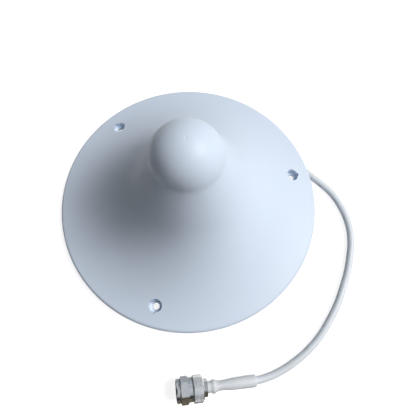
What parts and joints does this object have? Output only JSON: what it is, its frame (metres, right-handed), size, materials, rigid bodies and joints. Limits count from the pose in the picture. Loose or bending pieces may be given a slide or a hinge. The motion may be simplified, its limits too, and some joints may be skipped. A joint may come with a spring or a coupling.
{
  "type": "ceiling antenna",
  "caption": "White bell-shaped ceiling antenna for an indoor cellular booster, with a short coaxial pigtail that ends in an N plug.",
  "frame": {"origin": "centre of the mounting face, in the plane of the rim", "axes": "+Z along the bell's axis from the mounting face to the knob; the cable leaves towards +X and the plug lies on the -Y side"},
  "size_m": [0.2507, 0.2694, 0.12],
  "materials": {
    "radome_white": "satin injection-moulded ABS, slightly cool white",
    "base_white": "moulded ABS",
    "screw_steel": "zinc-plated steel",
    "reflector_aluminium": "mill finish sheet",
    "radiator_brass": "spun and cut brass sheet",
    "rivet_brass": "upset brass rivets",
    "ptfe": "turned PTFE",
    "cable_white": "white PVC jacket",
    "shrink_white": "white heat-shrink tube",
    "nickel": "bright nickel-plated brass",
    "spring_bronze": "phosphor-bronze wire",
    "gasket_rubber": "silicone rubber",
    "contact_gold": "gold-plated brass"
  },
  "bodies": {
    "antenna": {"radome": "radome_white", "base_plate": "base_white", "base_screws": "screw_steel", "reflector_disc": "reflector_aluminium", "radiator_cone": "radiator_brass", "radiator_plate": "radiator_brass", "radiator_tube": "radiator_brass", "radiator_rivets": "rivet_brass", "shorting_legs": "radiator_brass", "leg_screws": "screw_steel", "feed_flange": "radiator_brass", "feed_block": "radiator_brass", "feed_dielectric": "ptfe", "feed_pin": "contact_gold", "feed_screws": "screw_steel", "feed_ferrule": "radiator_brass", "coax_cable": "cable_white", "shrink_inner": "shrink_white", "shrink_sleeve": "shrink_white", "crimp_ferrule": "nickel", "plug_body": "nickel", "snap_ring": "spring_bronze", "plug_gasket": "gasket_rubber", "plug_insulator": "ptfe", "contact_pin": "contact_gold"},
    "coupling_nut": {"coupling_nut": "nickel"}
  },
  "joints": [
    {"name": "coupling_nut_spin", "type": "hinge", "parent": "antenna", "child": "coupling_nut", "pos_m": [0.0203, -0.1486, 0.00756], "axis": [-0.9912, -0.0291, 0.1291], "continuous": true}
  ]
}
